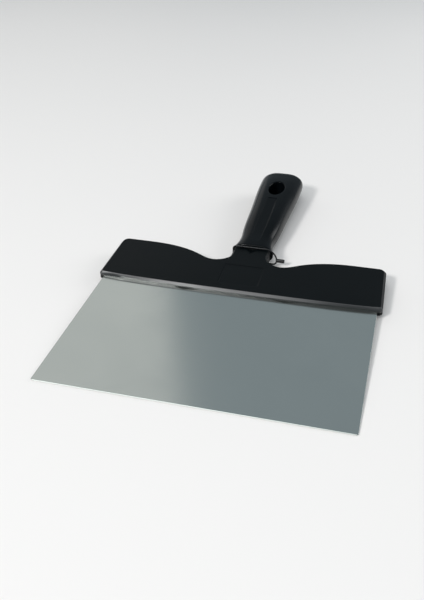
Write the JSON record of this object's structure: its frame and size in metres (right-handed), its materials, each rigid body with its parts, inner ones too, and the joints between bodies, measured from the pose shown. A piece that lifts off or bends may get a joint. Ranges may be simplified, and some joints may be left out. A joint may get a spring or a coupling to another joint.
{
  "type": "wide ink knife",
  "caption": "Wide straight-edged steel blade clamped in a moulded yoke, with a short flared grip that has a hanging eye.",
  "frame": {"origin": "middle of the working edge, half way through the blade's thickness", "axes": "+X along the working edge, +Y from the working edge to the grip's end, +Z out of the front face"},
  "size_m": [0.2068, 0.3025, 0.0206],
  "materials": {
    "blade_steel": "fine satin stainless sheet",
    "tang_steel": "plain mild steel",
    "yoke_plastic": "fine eroded texture",
    "grip_plastic": "satin moulded",
    "loop_plastic": "smooth nylon"
  },
  "bodies": {
    "root": {"blade": "blade_steel", "tang": "tang_steel", "tang_rivets": "tang_steel", "yoke_front": "yoke_plastic", "yoke_back": "yoke_plastic", "grip": "grip_plastic", "shop_loop": "loop_plastic"}
  },
  "joints": []
}
